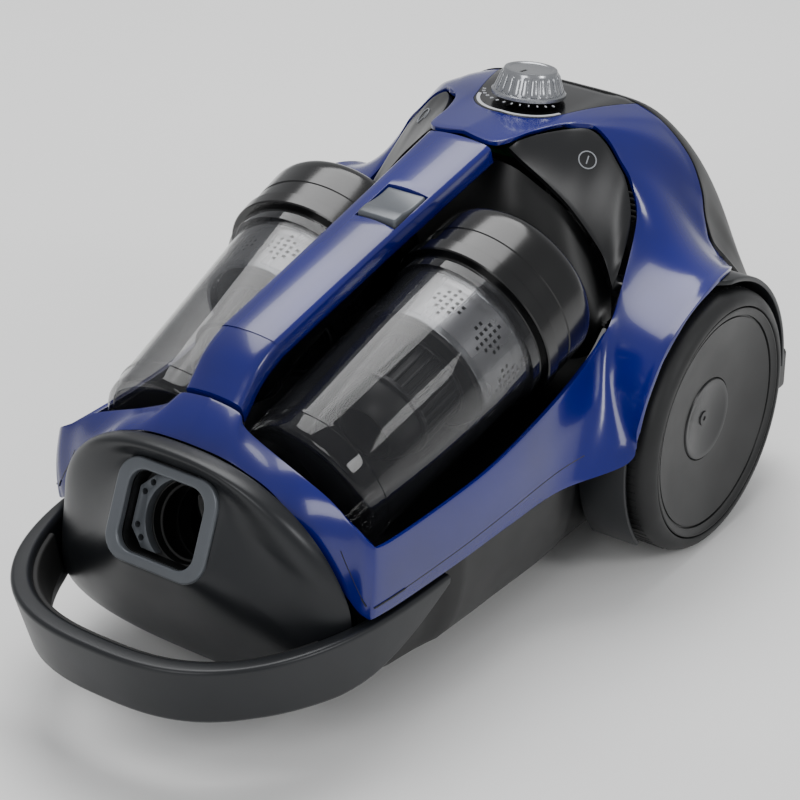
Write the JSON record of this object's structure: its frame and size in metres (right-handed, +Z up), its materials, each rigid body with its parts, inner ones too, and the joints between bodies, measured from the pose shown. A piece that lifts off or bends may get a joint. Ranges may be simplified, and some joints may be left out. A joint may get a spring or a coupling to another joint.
{
  "type": "canister vacuum cleaner",
  "caption": "Bagless canister vacuum cleaner with twin clear dust cups, a lift-out spine handle, foot pedals, suction dial, large rear wheels and a front caster.",
  "frame": {"origin": "centre of the overall bounding box's bottom face, on the floor that the wheels stand on", "axes": "X across the machine along the rear axle, +X on the right of someone who stands in front of the nose and looks at it; +Y from the nose and hose port to the tail; +Z up"},
  "size_m": [0.295, 0.506, 0.264],
  "materials": {
    "blue_shell": "glossy royal blue moulded shell",
    "gunmetal": "satin dark gunmetal moulded plastic",
    "black_plastic": "near-black moulded plastic with a soft sheen",
    "grey_plastic": "mid grey moulded plastic",
    "light_grey": "satin lighter grey moulded plastic",
    "smoke_clear": "clear smoke-tinted polycarbonate",
    "silver": "satin silver",
    "tyre_rubber": "dark grey moulded tread",
    "soft_rubber": "matt black rubber",
    "steel": "turned or pressed steel",
    "foam": "open-cell filter foam",
    "copper": "lacquered copper windings on steel",
    "board": "printed circuit board"
  },
  "bodies": {
    "body": {"chassis": "black_plastic", "upper_cover": "blue_shell", "nose_cover": "gunmetal", "inlet_bezel": "light_grey", "inlet_socket": "black_plastic", "contact_block": "light_grey", "inlet_duct": "black_plastic", "front_handle": "gunmetal", "handle_grip": "soft_rubber", "bay_liner": "black_plastic", "rear_bulkhead": "black_plastic", "rear_cover": "black_plastic", "dial_plate": "black_plastic", "dial_scale": "silver", "wheel_arch_left": "gunmetal", "wheel_arch_right": "gunmetal", "wheel_axle_left": "steel", "wheel_axle_right": "steel", "rear_foot_left": "black_plastic", "rear_foot_right": "black_plastic", "motor_housing": "black_plastic", "motor_mount": "soft_rubber", "pre_filter": "foam", "exhaust_filter": "foam", "exhaust_grille": "black_plastic", "reel_bracket": "steel", "control_board": "board", "potentiometer": "grey_plastic", "power_switch": "black_plastic", "caster_housing": "black_plastic", "cord_outlet": "soft_rubber"},
    "rotor": {"motor_shaft": "steel", "fan": "silver", "armature": "copper"},
    "cord_reel": {"cord_drum": "grey_plastic"},
    "wheel_left": {"tyre_left": "tyre_rubber", "wheel_hub_left": "black_plastic", "wheel_cap_left": "black_plastic", "hub_disc_left": "gunmetal"},
    "wheel_right": {"tyre_right": "tyre_rubber", "wheel_hub_right": "black_plastic", "wheel_cap_right": "black_plastic", "hub_disc_right": "gunmetal"},
    "caster": {"caster_fork": "gunmetal", "caster_pin": "steel"},
    "caster_roller": {"caster_wheel": "black_plastic"},
    "knob": {"suction_knob": "silver"},
    "power_press": {"power_pedal": "black_plastic"},
    "rewind_press": {"rewind_pedal": "black_plastic"},
    "dust_bin": {"bin_handle": "blue_shell", "bin_frame": "black_plastic", "cup_left": "smoke_clear", "cup_right": "smoke_clear", "collar_left": "black_plastic", "collar_right": "black_plastic", "grille_left": "silver", "grille_right": "silver", "cyclone_left": "black_plastic", "cyclone_right": "black_plastic"},
    "latch": {"bin_button": "light_grey"}
  },
  "joints": [
    {"name": "wheel_left_spin", "type": "hinge", "parent": "body", "child": "wheel_left", "pos_m": [-0.13, 0.13495, 0.08], "axis": [1, 0, 0], "continuous": true},
    {"name": "wheel_right_spin", "type": "hinge", "parent": "body", "child": "wheel_right", "pos_m": [0.13, 0.13495, 0.08], "axis": [1, 0, 0], "continuous": true},
    {"name": "caster_swivel", "type": "hinge", "parent": "body", "child": "caster", "pos_m": [0, -0.10305, 0.045], "axis": [0, 0, 1], "continuous": true},
    {"name": "caster_roll", "type": "hinge", "parent": "caster", "child": "caster_roller", "pos_m": [0, -0.09205, 0.014], "axis": [1, 0, 0], "continuous": true},
    {"name": "suction_knob_turn", "type": "hinge", "parent": "body", "child": "knob", "pos_m": [0, 0.14945, 0.2446], "axis": [0, 0.1392, 0.9903], "range_deg": [-135, 135]},
    {"name": "power_pedal_press", "type": "slide", "parent": "body", "child": "power_press", "axis": [-0.5623, 0.4518, -0.6925], "range_m": [0, 0.004], "stiffness_N_per_m": 2500, "springref_m": -0.001},
    {"name": "rewind_pedal_press", "type": "slide", "parent": "body", "child": "rewind_press", "axis": [0.5623, 0.4518, -0.6925], "range_m": [0, 0.004], "stiffness_N_per_m": 2500, "springref_m": -0.001},
    {"name": "dust_bin_lift", "type": "slide", "parent": "body", "child": "dust_bin", "axis": [0, -0.2978, 0.9546], "range_m": [0, 0.15]},
    {"name": "bin_button_press", "type": "slide", "parent": "dust_bin", "child": "latch", "axis": [0, 0.2194, -0.9756], "range_m": [0, 0.003], "stiffness_N_per_m": 1500, "springref_m": -0.001},
    {"name": "rotor_spin", "type": "hinge", "parent": "body", "child": "rotor", "pos_m": [-0.03, 0.13495, 0.098], "axis": [0, 1, 0], "continuous": true},
    {"name": "cord_reel_spin", "type": "hinge", "parent": "body", "child": "cord_reel", "pos_m": [0.064, 0.17095, 0.108], "axis": [1, 0, 0], "continuous": true}
  ]
}
